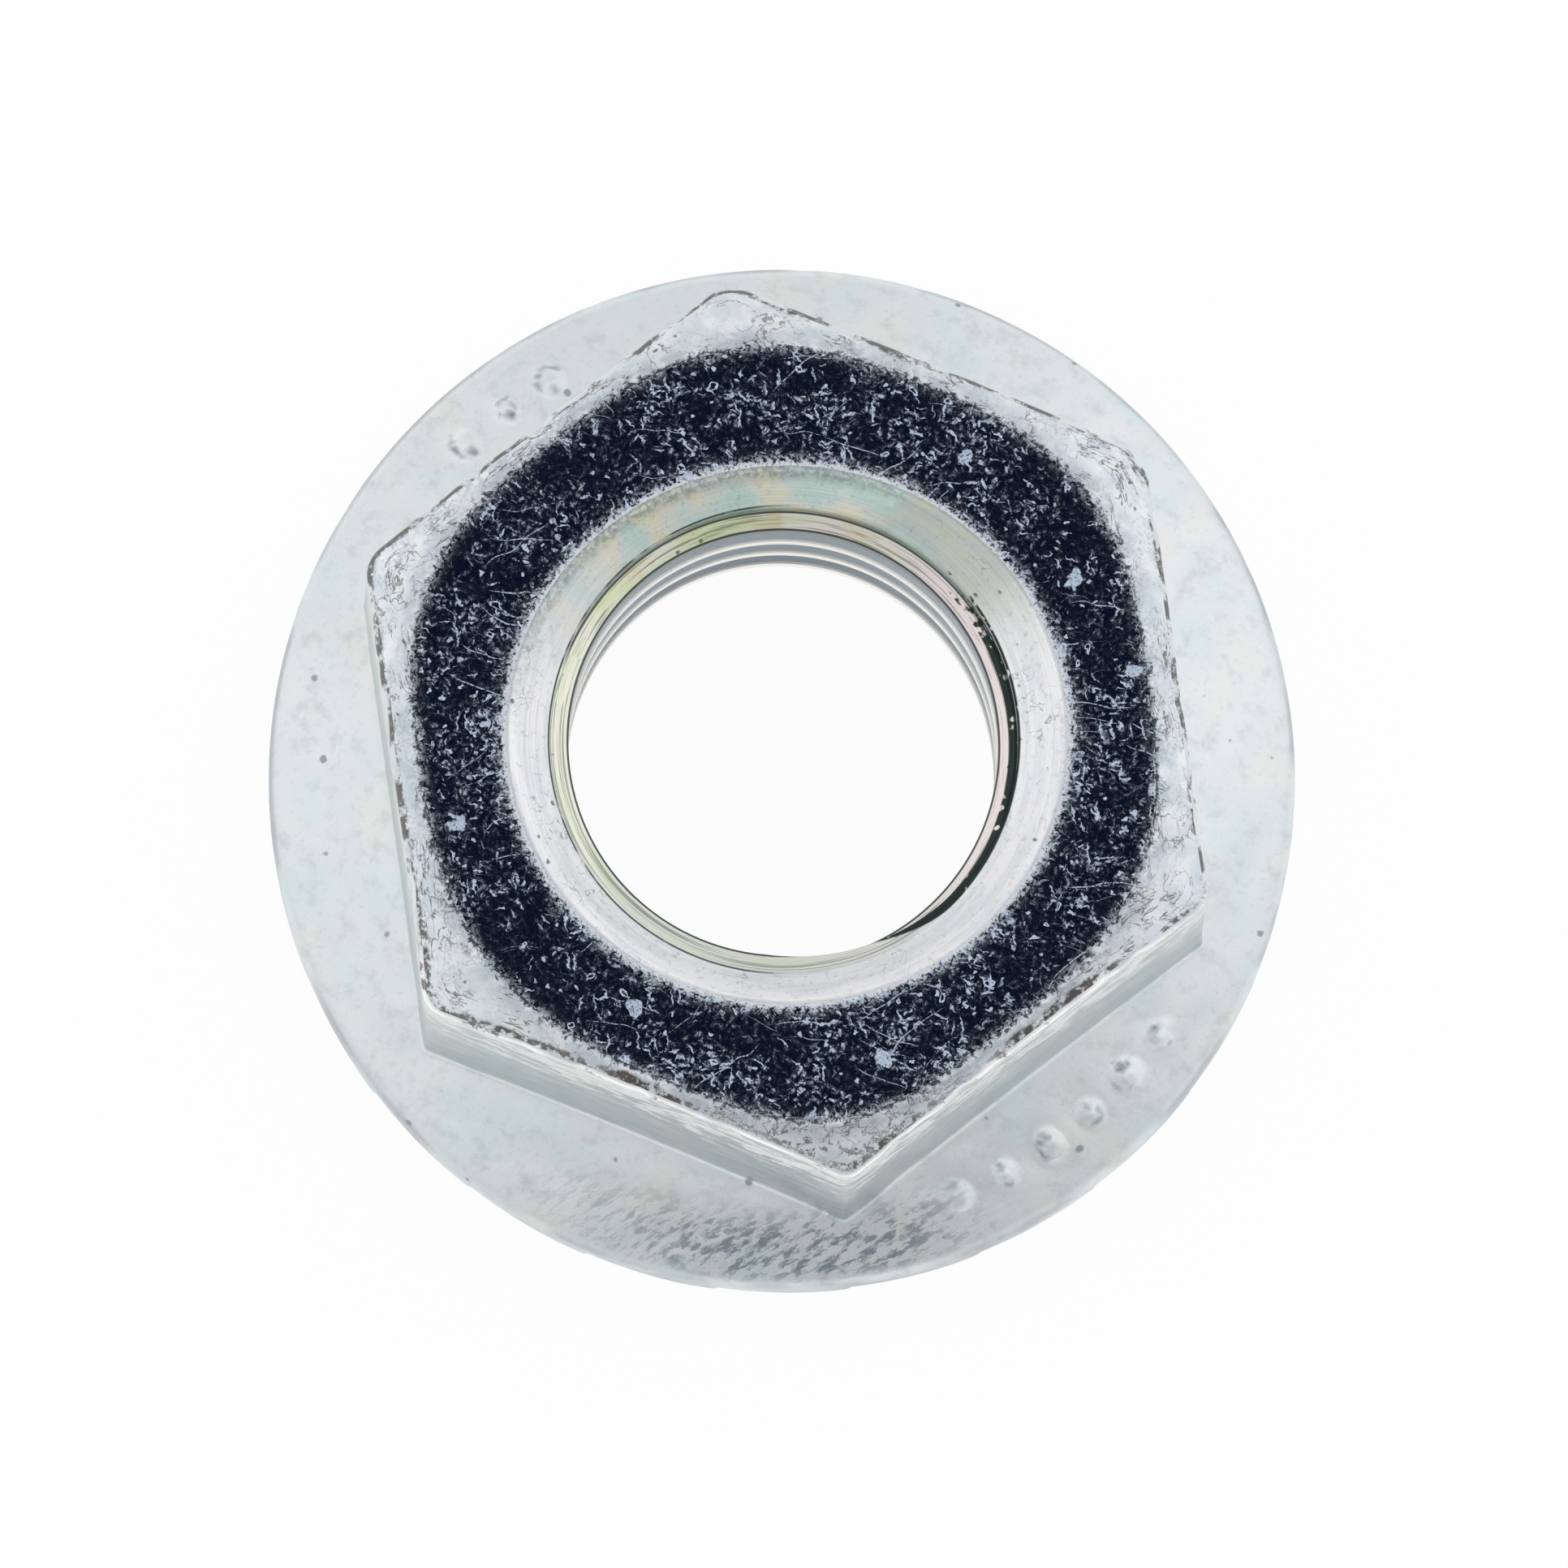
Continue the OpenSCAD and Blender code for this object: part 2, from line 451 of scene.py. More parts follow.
def wear(points, faces):
    """Small knocks on the hexagon's upper edge, its chamfers and the rim, and an uneven forged flange."""
    chance = random.Random(WEAR_SEED)
    normals = point_normals(points, faces)
    press = np.zeros(len(points))
    spots = []
    for _ in range(EDGE_KNOCKS):
        turn = chance.uniform(0, 2 * math.pi)
        wall = float(hexagon_reach(np.array([turn]))[0])
        z = NUT_HEIGHT - (wall - TOP_FACE_R - 0.1) * math.tan(CHAMFER_SLOPE)
        size = chance.uniform(*EDGE_KNOCK_SIZES)
        spots.append((wall - chance.uniform(0, 0.1), turn, z, size, size * chance.uniform(0.1, 0.35)))
    for _ in range(RIM_KNOCKS):
        turn = chance.uniform(0, 2 * math.pi)
        size = chance.uniform(*RIM_KNOCK_SIZES)
        spots.append((FLANGE_R, turn, RIM_KNOCK_HEIGHT, size, size * chance.uniform(0.03, 0.10)))
    for reach, turn, z, size, depth in spots:
        spot = np.array([reach * math.cos(turn), reach * math.sin(turn), z])
        press += depth * np.exp(-((points - spot) ** 2).sum(1) / size ** 2)
    reach = np.hypot(points[:, 0], points[:, 1])
    on_cone = smooth(*WAVE_FADE_IN, reach) * (1 - smooth(*WAVE_FADE_OUT, reach))
    press += WAVE_HEIGHT * on_cone * (points[:, 2] > WAVE_LOW) * ripples(points, chance)
    return points - normals * press[:, None]


def keep(mesh, name, values):
    """Stores one number for each point, which the finishes read."""
    layer = mesh.attributes.new(name, "FLOAT", "POINT")
    layer.data.foreach_set("value", values.astype(np.float32))


def nut_mesh(points, faces, zones, notes, finishes):
    """Mesh object of the nut, with one material for each zone."""
    mesh = bpy.data.meshes.new("flange_nut_plated")
    mesh.from_pydata((points * MM).tolist(), [], faces)
    names = list(finishes)
    for name in names:
        mesh.materials.append(finishes[name])
    slots = [names.index(zone) for zone in zones]
    mesh.polygons.foreach_set("material_index", np.array(slots, dtype=np.int32))
    mesh.shade_smooth()
    mesh.set_sharp_from_angle(angle=SHARP_ANGLE)

    reach = np.hypot(points[:, 0], points[:, 1])
    turn = np.arctan2(points[:, 1], points[:, 0]) % (2 * math.pi)
    keep(mesh, "from_edge", hexagon_reach(turn) - reach)
    keep(mesh, "from_lip", reach - lip_reach(turn))
    keep(mesh, "from_chamfer", top_reach(turn) - reach)
    for name, values in notes.items():
        keep(mesh, name, values)
    mesh.update()
    nut = bpy.data.objects.new("flange_nut_plated", mesh)
    bpy.context.scene.collection.objects.link(nut)
    return nut


class Field:
    """A value that varies over a surface. Python's operators on it add nodes to its paint."""

    def __init__(self, paint, socket):
        self.paint = paint
        self.socket = socket

    def __add__(self, other):
        return self.paint.math("ADD", self, other)

    def __sub__(self, other):
        return self.paint.math("SUBTRACT", self, other)

    def __rsub__(self, other):
        return self.paint.math("SUBTRACT", other, self)

    def __mul__(self, other):
        return self.paint.math("MULTIPLY", self, other)

    def __truediv__(self, other):
        return self.paint.math("DIVIDE", self, other)

    def __pow__(self, other):
        return self.paint.math("POWER", self, other)

    def __abs__(self):
        return self.paint.math("ABSOLUTE", self)

    __radd__ = __add__
    __rmul__ = __mul__

    def most(self, other):
        return self.paint.math("MAXIMUM", self, other)

    def rise(self, low, high):
        """Soft step from 0 at low to 1 at high, and a falling one where low is the larger."""
        settings = {"interpolation_type": "SMOOTHSTEP"}
        return self.paint.field("ShaderNodeMapRange", settings, {0: self, 1: low, 2: high})

    def between(self, start, full, last, end):
        """Soft window: 0 up to start, 1 from full to last, 0 after end."""
        return self.rise(start, full) * self.rise(end, last)


class Paint:
    """Builds one node tree from Python expressions."""

    def __init__(self, tree):
        self.tree = tree

    def feed(self, socket, value):
        if isinstance(value, Field):
            self.tree.links.new(value.socket, socket)
        else:
            socket.default_value = value

    def node(self, kind, settings, inputs):
        node = self.tree.nodes.new(kind)
        for name, value in settings.items():
            setattr(node, name, value)
        for key, value in inputs.items():
            self.feed(node.inputs[key], value)
        return node

    def field(self, kind, settings, inputs, output=0):
        return Field(self, self.node(kind, settings, inputs).outputs[output])

    def math(self, operation, *values):
        return self.field("ShaderNodeMath", {"operation": operation}, dict(enumerate(values)))

    def vector(self, operation, *values):
        return self.field("ShaderNodeVectorMath", {"operation": operation}, dict(enumerate(values)))

    def along(self, vector, axis):
        """How far a vector reaches along an axis."""
        settings = {"operation": "DOT_PRODUCT"}
        return self.field("ShaderNodeVectorMath", settings, {0: vector, 1: axis}, "Value")

    def blend(self, share, low, high):
        """Colour that goes from low to high with the share."""
        colours = [value if isinstance(value, Field) else (*value, 1) for value in (low, high)]
        return self.field("ShaderNodeMix", {"data_type": "RGBA"}, {0: share, 6: colours[0], 7: colours[1]}, 2)

    def place(self):
        """Position on the nut in millimetres."""
        spot = self.field("ShaderNodeTexCoord", {}, {}, "Object")
        return self.field("ShaderNodeVectorMath", {"operation": "SCALE"}, {0: spot, "Scale": 1 / MM})

    def parts(self, vector):
        node = self.node("ShaderNodeSeparateXYZ", {}, {0: vector})
        return [Field(self, socket) for socket in node.outputs]

    def joined(self, x, y, z):
        return self.field("ShaderNodeCombineXYZ", {}, {0: x, 1: y, 2: z})

    def noise(self, where, scale, detail=2.0, roughness=0.5):
        inputs = {"Vector": where, "Scale": scale, "Detail": detail, "Roughness": roughness}
        return self.field("ShaderNodeTexNoise", {}, inputs)

    def bent(self, where, scale, amount):
        """The position, pushed about by soft noise so that straight marks curve."""
        push = self.field("ShaderNodeTexNoise", {}, {"Vector": where, "Scale": scale}, 1)
        return self.vector("MULTIPLY_ADD", push, (amount, amount, amount), where)

    def cells(self, where, scale, dimensions="2D"):
        """Distance to the nearest of many scattered points, and a random number for each point."""
        settings = {"voronoi_dimensions": dimensions}
        node = self.node("ShaderNodeTexVoronoi", settings, {"Vector": where, "Scale": scale})
        chance = self.node("ShaderNodeSeparateColor", {}, {0: Field(self, node.outputs["Color"])})
        return Field(self, node.outputs["Distance"]), Field(self, chance.outputs[0])

    def scratches(self, where, layers, length, width, share, seed):
        """Thin marks in many directions, each of them one stretched cell."""
        chance = random.Random(seed)
        marks = None
        for layer in range(layers):
            inputs = {
                "Vector": where,
                "Location": (chance.uniform(-50, 50), chance.uniform(-50, 50), 0),
                "Rotation": (0, 0, math.pi * (layer + chance.random()) / layers),
                "Scale": (length * chance.uniform(0.6, 1.4), width, 1),
            }
            stretched = self.field("ShaderNodeMapping", {"vector_type": "TEXTURE"}, inputs)
            distance, pick = self.cells(stretched, 1)
            chosen = pick.rise(1 - share, 1)
            mark = (distance / (0.05 + 0.25 * chosen)).rise(1.0, 0.6) * chosen.rise(0, 0.08)
            mark = mark * (0.25 + 0.75 * chosen)
            marks = marks.most(mark) if marks else mark
        return marks


class Metal(Paint):
    """A plated finish: one material with a metallic shader."""

    def __init__(self, name):
        self.material = bpy.data.materials.new(name)
        self.material.use_nodes = True
        super().__init__(self.material.node_tree)
        self.shader = self.tree.nodes["Principled BSDF"]
        self.shader.inputs["Metallic"].default_value = 1

    def finish(self, colour, roughness, height=None, depth=0.0):
        """Sets the shader. The height, 0 to 1, is a relief of the given depth in millimetres."""
        self.feed(self.shader.inputs["Base Color"], colour)
        self.feed(self.shader.inputs["Roughness"], roughness)
        if height:
            inputs = {"Height": height, "Distance": depth * MM, "Strength": 1.0}
            self.feed(self.shader.inputs["Normal"], self.field("ShaderNodeBump", {}, inputs))
        return self.material

    def note(self, name):
        """A number stored with the points of the mesh."""
        return self.field("ShaderNodeAttribute", {"attribute_name": name}, {}, "Fac")

    def round_place(self, middle_x=0.0, middle_y=0.0):
        """Distance from an upright axis in millimetres, and the angle round it in degrees."""
        x, y = self.parts(self.place())[:2]
        x = x - middle_x
        y = y - middle_y
        reach = (x * x + y * y) ** 0.5
        angle = self.math("ARCTAN2", y, x) * (180 / math.pi)
        return reach, angle

    def toward(self, place, degrees):
        """How far a place lies from the nut's axis in one level direction, in millimetres."""
        turn = math.radians(degrees)
        return self.along(place, (math.cos(turn), math.sin(turn), 0))


# Places in degrees round the nut: of wear, the dirtiest edge and the battered corner; of painted shade,
# the shaded side of the countersink and a grey-green spot on it; and the side where the first flank turns
# pink
WORST_EDGE = 222
BATTERED_CORNER = 300
SHADED_LIP = 132
SHADE_SPOT_TURNS = (44, 62, 82, 98)
PINK_FLANK = 20

# Rough patch on the flange: its window in degrees and in millimetres from the axis, and its streaks
PATCH_TURNS = (-108, -70, -56, -38)
PATCH_REACHES = (7.7, 8.5, 9.0, 9.35)
STREAK_SLANT = 50

# Heights between which the finish of the lower turns gives way to that of the first flank
FIRST_TURN = (6.2, 6.6)


def polished_top():
    """Top face: a mirror under scratches, nicks, specks and craters, frayed along both of its edges."""
    metal = Metal("polished_top")
    place = metal.place()
    torn = metal.bent(metal.bent(place, 3, 0.25), 13, 0.13)
    curved = metal.bent(place, 0.8, 0.6)
    ragged = metal.noise(place, 22, 3, 0.7).rise(0.34, 0.56)

    # Scratches of three lengths, and a felt of the finest ones
    hairs = metal.scratches(curved, layers=3, length=2.4, width=0.05, share=0.07, seed=3)
    hairs = hairs * ragged
    nicks = metal.scratches(torn, layers=3, length=0.60, width=0.085, share=0.18, seed=4)
    nicks = nicks * (0.3 + 0.7 * ragged)
    fine = metal.scratches(torn, layers=4, length=0.27, width=0.105, share=0.32, seed=9)
    fine = fine * (0.4 + 0.6 * ragged)
    felt = metal.noise(metal.bent(place, 3, 0.25), 10, 6, 0.75).rise(0.45, 0.74)

    # Specks, ring-shaped craters and a few larger flakes
    near, pick = metal.cells(torn, 4.0)
    specks = (near / (0.04 + 0.14 * pick)).rise(1.0, 0.6) * pick.rise(0.66, 1.0) * (0.4 + 0.6 * ragged)
    near, pick = metal.cells(torn, 1.5)
    size = pick.rise(0.78, 1.0)
    craters = abs(near - 0.03 - 0.06 * size).rise(0.030, 0.010) * size.rise(0, 0.05)
    near, pick = metal.cells(metal.bent(place, 4.0, 0.4), 0.7)
    flakes = near.rise(0.13, 0.08) * pick.rise(0.66, 0.72) * (0.3 + 0.7 * ragged)

    # The marks crowd together in patches and along the lip, and both edges are rubbed
    patches = metal.noise(place, 1.2, 4, 0.7).rise(0.40, 0.66)
    chipped = metal.noise(place, 5, 5, 0.7)
    inward = metal.note("from_lip")
    outward = metal.note("from_chamfer")
    hazy = inward.rise(0.8, 0.1) * 0.7
    near_edge = inward.rise(0.48, 0.0).most(outward.rise(0.42, 0.0) * 0.6)
    rubbed = metal.noise(place, 11, 4, 0.8).rise(0.42, 0.58) * near_edge
    crowd = (0.10 + 0.90 * patches).most(hazy)
    marks = (nicks * (0.40 + 0.60 * crowd)).most(hairs * 0.55).most(fine * crowd * 0.75)
    marks = marks.most(felt * (0.30 + 0.70 * crowd) * 0.68).most(specks * 0.8)
    marks = marks.most(craters * 0.65).most(flakes * 0.6).most(rubbed * 0.75)
    edge = (inward / (chipped * 0.40)).rise(1.0, 0.6).most((outward / (chipped * 0.26)).rise(1.0, 0.6))
    edge = edge * (0.45 + 0.55 * ragged)

    # A mark is rough, so it shows the white room where the polish shows the dark card
    colour = metal.blend(marks.rise(0.0, 0.40), (0.73, 0.78, 0.83), (0.60, 0.71, 0.86))
    colour = metal.blend(edge.most(rubbed * 0.7), colour, (0.84, 0.87, 0.91))
    roughness = 0.045 + (0.76 * marks).most(edge * 0.45)
    relief = chipped * (0.15 + 0.3 * edge)
    return metal.finish(colour, roughness, relief, 0.008)


def brighter_side(metal, place):
    """Share of brightness on the hexagon's upper edge: full on one side of the nut, none opposite."""
    return metal.toward(place, PHOTO_BOTTOM).rise(2.0, 4.8)


def edge_dirt(metal, place):
    """Brown-black line where the plating is knocked off the hexagon's upper edge, broken and uneven."""
    inward = metal.note("from_edge")
    worst = metal.toward(place, WORST_EDGE).rise(4.4, 6.0)
    stretch = metal.noise(place, 0.6, 2).rise(0.40, 0.60).most(worst * 0.85)
    width = 0.020 + 0.17 * stretch * metal.noise(place, 3.0, 3, 0.6)
    broken = metal.noise(place, 7, 4, 0.65).rise(0.40, 0.55)
    offset = (0.04 + 0.20 * metal.noise(place, 0.9, 3)) * (0.25 + 0.75 * brighter_side(metal, place))
    line = (abs(inward - offset) / width).rise(1.2, 0.5) * broken * (0.25 + 0.75 * stretch)
    return line, inward


def worn_chamfer_painted_shade():
    """Corner chamfer: pale, greyed toward the top face by painted shade and then darkened by a painted
    reflection of the dark card, with pits, cracks, seams and dirt on its edge.
    """
    metal = Metal("worn_chamfer_painted_shade")
    place = metal.place()
    dirt, inward = edge_dirt(metal, place)

    # Pits and cracks, most of them at the battered corner
    near, pick = metal.cells(metal.bent(place, 4, 0.15), 3.4, "3D")
    pits = (near / (0.05 + 0.12 * pick)).rise(1.0, 0.5) * pick.rise(0.62, 0.72)
    crack = abs(metal.noise(metal.bent(place, 3, 0.4), 2.2, 4) - 0.5).rise(0.018, 0.005)
    crack = crack * metal.noise(place, 0.9, 2).rise(0.44, 0.58)
    battered = metal.toward(place, BATTERED_CORNER).rise(6.3, 7.4)
    grain = metal.noise(place, 14, 4, 0.65).rise(0.50, 0.62)
    grain = grain * metal.noise(place, 1.4, 3).rise(0.38, 0.60)
    torn = abs(metal.noise(metal.bent(place, 3, 0.5), 1.7, 4, 0.7) - 0.5).rise(0.024, 0.008)
    pits = pits.most(torn * battered)

    # Thin seams that run along the edge
    angle = metal.round_place()[1]
    rolled = metal.joined(angle * 0.16, inward * 5, 0)
    seam = abs(metal.noise(metal.bent(rolled, 1.2, 0.8), 1, 4, 0.6) - 0.5).rise(0.022, 0.007)
    seam = seam * metal.noise(place, 1.1, 2).rise(0.46, 0.58)
    dark = dirt.most(pits * 0.8).most(crack * 0.65).most(seam * 0.8)

    # Toward the top face a painted shade turns the plate grey, and then a frayed painted reflection of the
    # dark card runs it into the dark polish
    to_top = metal.note("from_chamfer")
    uneven = metal.noise(metal.bent(place, 2, 0.5), 3.0, 4, 0.7).rise(0.36, 0.60)
    hazy = to_top.rise(-0.40, 0.05) * (0.3 + 0.7 * uneven)
    frayed = (metal.noise(metal.bent(place, 3, 0.3), 8, 4, 0.75) + to_top * 1.2).rise(0.56, 0.66)
    pale = metal.blend(metal.noise(place, 2.4, 3).rise(0.3, 0.7), (0.73, 0.80, 0.86), (0.93, 0.97, 1.00))
    greyed = metal.blend(grain * 0.4, pale, (0.36, 0.38, 0.41))
    # Painted shade: grey-blue haze over the chamfer's inner part
    greyed = metal.blend(hazy * 0.75, greyed, (0.45, 0.50, 0.56))
    colour = metal.blend(dark * 0.9, greyed, (0.085, 0.068, 0.055))
    # Painted reflection of the dark card, frayed, at the chamfer's inner edge
    colour = metal.blend(frayed * 0.95, colour, (0.045, 0.058, 0.085))
    roughness = 0.32 + 0.3 * dark + 0.1 * grain
    return metal.finish(colour, roughness, 1 - dirt.most(grain * 0.4), 0.009)


def bright_edge():
    """The hexagon's upper edge: near-white on one side of the nut, duller opposite, with dark breaks."""
    metal = Metal("bright_edge")
    place = metal.place()
    rubbed = brighter_side(metal, place)
    breaks = (metal.noise(place, 1.3, 6, 0.72) + 0.09 * (1 - rubbed)).rise(0.56, 0.64)
    dull = metal.noise(place, 1.1, 3).rise(0.40, 0.65).most(1 - rubbed)
    colour = metal.blend(dull, (0.98, 0.99, 1.00), (0.74, 0.78, 0.80))
    colour = metal.blend(breaks * 0.8, colour, (0.10, 0.085, 0.07))
    return metal.finish(colour, 0.30 + 0.2 * breaks, 1 - breaks, 0.008)


def drawn_flats():
    """Flats of the hexagon: soft level streaks, with pale rough ones near the top, whose whiteness is a
    painted highlight.
    """
    metal = Metal("drawn_flats")
    place = metal.place()
    x, y, z = metal.parts(place)
    level = metal.joined(x * 1.4, y * 1.4, z * 2.4)
    streaks = metal.noise(metal.bent(level, 1, 0.5), 1, 4, 0.7)
    high = z.rise(5.2, 7.6)
    colour = metal.blend(streaks.rise(0.3, 0.7), (0.56, 0.62, 0.62), (0.70, 0.74, 0.73))
    # Painted highlight: near the top the streaks turn nearly white
    pale = (streaks + 0.08 * high).rise(0.53, 0.60) * z.rise(4.4, 7.0)
    colour = metal.blend(pale * 0.9, colour, (0.96, 0.97, 0.96))
    return metal.finish(colour, 0.28 + 0.16 * streaks + 0.35 * pale, streaks, 0.006)


def satin_flange(name, worn):
    """Mottled satin plate with faint colours, painted shade round the pips' feet and along the rim's outer
    edge. The share of its wear goes from 0 to 1.
    """
    metal = Metal(name)
    place = metal.place()
    reach, angle = metal.round_place()
    broad = metal.noise(place, 0.5, 2)
    small = metal.noise(place, 2.6, 5, 0.65)
    grain = metal.noise(metal.bent(place, 4, 0.2), 11, 4, 0.7)
    tint = metal.blend(broad.rise(0.35, 0.65), (0.81, 0.86, 0.885), (0.86, 0.875, 0.905))
    warm = metal.noise(metal.bent(place, 0.7, 2.0), 0.8, 1)
    tint = metal.blend(warm.rise(0.53, 0.70) * 0.4, tint, (0.89, 0.89, 0.82))
    tint = metal.blend(warm.rise(0.47, 0.32) * 0.5, tint, (0.76, 0.88, 0.89))
    mottled = metal.blend(small.rise(0.48, 0.72) * 0.50, tint, (0.60, 0.65, 0.68))
    mottled = metal.blend(grain.rise(0.54, 0.74) * 0.30 * worn, mottled, (0.50, 0.54, 0.57))
    near, pick = metal.cells(metal.bent(place, 6, 0.08), 1.3, "3D")
    specks = (near / (0.03 + 0.10 * pick)).rise(1.0, 0.5) * pick.rise(0.50, 0.56)

    # Rough patch near the rim, with short slanting streaks
    patch = angle.between(*PATCH_TURNS) * reach.between(*PATCH_REACHES)
    along = metal.toward(place, STREAK_SLANT)
    across = metal.toward(place, STREAK_SLANT + 90)
    streaks = metal.noise(metal.bent(metal.joined(along * 3.2, across * 8.5, 0), 1.5, 0.6), 1, 5, 0.65)
    rough = patch * (0.42 + 1.4 * streaks.rise(0.44, 0.60)) * worn
    # Painted shade in the crease round each pip's foot, broken by noise
    foot = metal.note("pip_foot")
    pip_foot_painted_shade = foot * metal.noise(place, 2.2, 3).rise(0.46, 0.60) * 0.8
    # Painted shade, uneven, on the rim's outer edge
    rim = reach.rise(9.20, 9.30) * (0.08 + 0.40 * broad.rise(0.35, 0.6))
    dark = (specks * 0.7 * worn).most(rough * 0.50).most(pip_foot_painted_shade).most(rim)
    colour = metal.blend(dark, mottled, (0.22, 0.27, 0.31))
    relief = 1 - rough * 0.25 - small * 0.4 - grain * 0.15
    return metal.finish(colour, 0.36 + 0.08 * small + 0.15 * dark, relief, 0.014)


def turned_bore():
    """Cut surfaces of the bore: fine rings from the tool and the plating's faint colours, with painted shade
    and shadows in the mouth and painted light on the lower turns.
    """
    metal = Metal("turned_bore")
    place = metal.place()
    reach, angle = metal.round_place(THREAD_X, THREAD_Y)
    height = metal.parts(place)[2]
    under = metal.note("under_cone")
    grain = metal.noise(metal.bent(place, 5, 0.14), 9, 4, 0.7)
    hue = metal.noise(metal.bent(place, 0.9, 1.2), 0.8, 2)
    swept = metal.noise(metal.joined(reach * 6, angle * 0.05, height * 6), 1, 3, 0.6)
    rings = metal.noise(metal.joined(reach * 26, height * 10, angle * 0.012), 1, 3, 0.6)
    broken = metal.noise(place, 1.5, 3).rise(0.35, 0.5)
    first = reach.rise(MOUTH_R - 0.003, MOUTH_R - 0.015)

    # Countersink: white, with green and yellow plating colours on one side, grey painted shade near the lip
    # and in a spot on one side, and crumbs near its edges
    facing = metal.toward(place, PHOTO_TOP) / reach
    tinted = facing.rise(0.15, 0.85)
    cone = metal.blend(swept.rise(0.40, 0.62), (0.95, 0.95, 0.97), (0.84, 0.85, 0.89))
    cone = metal.blend(tinted * hue.rise(0.60, 0.40), cone, (0.68, 0.87, 0.80))
    cone = metal.blend(tinted * hue.rise(0.46, 0.64) * 0.9, cone, (0.90, 0.90, 0.66))
    cone = metal.blend(grain.rise(0.54, 0.70) * 0.45, cone, (0.42, 0.44, 0.46))
    # Painted shade: the cone turns grey next to the lip on one side
    from_lip = metal.note("from_lip")
    shaded_side = metal.toward(place, SHADED_LIP) / reach
    shade = shaded_side.rise(0.20, 0.95) * from_lip.rise(-0.26, 0.02) * (0.4 + 0.6 * grain.rise(0.40, 0.60))
    # Painted shade in a grey-green spot on one side of the cone
    painted_shade_spot = angle.between(*SHADE_SPOT_TURNS) * hue.rise(0.30, 0.50)
    cone = metal.blend(shade.most(painted_shade_spot * 0.5), cone, (0.36, 0.41, 0.41))
    near, pick = metal.cells(metal.bent(place, 6, 0.1), 3.0, "3D")
    crumbs = (near / (0.04 + 0.14 * pick)).rise(1.0, 0.5) * pick.rise(0.78, 0.84)
    crack = abs(metal.noise(metal.bent(place, 3, 0.4), 2.4, 4) - 0.5).rise(0.016, 0.005)
    crumbs = crumbs.most(crack * metal.noise(place, 0.9, 2).rise(0.54, 0.64) * (1 - first) * 0.6)

    # First flank: yellow-green, turning pink on one side
    turned_pink = metal.toward(place, PINK_FLANK) / reach + (hue - 0.5) * 0.8
    band = metal.blend(swept.rise(0.38, 0.62), (1.00, 0.99, 0.88), (0.86, 0.91, 0.72))
    gold = facing.rise(0.10, 0.70) * metal.noise(place, 1.6, 3).rise(0.40, 0.60)
    band = metal.blend(gold * 0.8, band, (0.84, 0.78, 0.50))
    band = metal.blend(facing.rise(0.20, 0.75) * hue.rise(0.52, 0.40) * 0.8, band, (0.80, 0.92, 0.58))
    band = metal.blend(turned_pink.rise(0.05, 0.60), band, (0.95, 0.86, 0.86))
    band = metal.blend(facing.rise(-0.4, -0.95) * 0.7, band, (0.85, 0.87, 0.81))
    upper = height.rise(*FIRST_TURN)
    colour = metal.blend(first * upper, cone, band)

    # Lower turns: the same cut metal painted lit and shaded, a cream painted highlight on the crests and
    # grey-blue painted shade on the flanks
    off_crest = reach.rise(MINOR_R + 0.02, MINOR_R + 0.05)
    lower = metal.blend(off_crest, (1.00, 0.99, 0.95), (0.54, 0.60, 0.65))
    colour = metal.blend(first * (1 - upper), colour, lower)
    # Painted shadow along the first crest of the upper turn
    crest_painted_shadow = reach.rise(MINOR_R + 0.045, MINOR_R + 0.030) * upper

    # Painted shadows: a dark gap over the first thread, wide on one side of the mouth, and thin painted
    # shadow lines at the countersink's lower edge and at the foot of the mouth's wall; the tool's scored
    # rings and crumbs darken with them
    shadow_spread = (angle.rise(86, 22) + (metal.noise(place, 6, 3, 0.6) - 0.5) * 1.6).rise(0.35, 0.55)
    gap_from = MINOR_R + 0.07 + 0.10 * angle.rise(-50, 0)
    gap_to = MINOR_R + 0.10 + 0.29 * angle.rise(-50, -22)
    mouth_painted_shadow = (reach - gap_from).rise(0.0, 0.03) * (gap_to - reach).rise(-0.01, 0.02)
    mouth_painted_shadow = mouth_painted_shadow * angle.rise(-50, -40) * shadow_spread
    turn = metal.math("FRACT", height / PITCH + THREAD_START - angle / 360)
    on_flank = turn.rise(CREST_END - 0.04, CREST_END) * turn.rise(ROOT_START + 0.08, ROOT_START + 0.04)
    mouth_painted_shadow = mouth_painted_shadow * upper * on_flank.most(under.rise(0.06, 0.02))
    on_left = metal.toward(place, PHOTO_LEFT) / reach
    cone_edge_painted_shadow = abs(reach - MOUTH_R - 0.020).rise(0.024, 0.010) * (0.35 + 0.65 * broken) * upper
    cone_edge_painted_shadow = cone_edge_painted_shadow * (0.15 + 0.85 * on_left.rise(-0.10, 0.20))
    wall_foot_painted_shadow = abs(reach - MOUTH_R + 0.025).rise(0.028, 0.012) * under.rise(0.05, 0.12) * upper
    scored = rings.rise(0.52, 0.62) * (0.08 + 0.52 * first * upper)
    dark = scored.most(cone_edge_painted_shadow).most(wall_foot_painted_shadow).most(crest_painted_shadow).most(crumbs * (0.25 + 0.55 * upper))
    colour = metal.blend(dark * 0.92, colour, (0.030, 0.055, 0.060))
    # The painted shadow over the first thread, broken by bright chips
    near, pick = metal.cells(metal.bent(place, 8, 0.14), 5.0, "3D")
    chips = (near / (0.10 + 0.28 * pick)).rise(1.0, 0.6) * pick.rise(0.58, 0.66)
    colour = metal.blend(mouth_painted_shadow * (1 - chips) * 0.97, colour, (0.012, 0.026, 0.022))
    return metal.finish(colour, 0.24 + 0.14 * rings + 0.1 * grain, rings * 0.5 + grain * 0.4, 0.008)


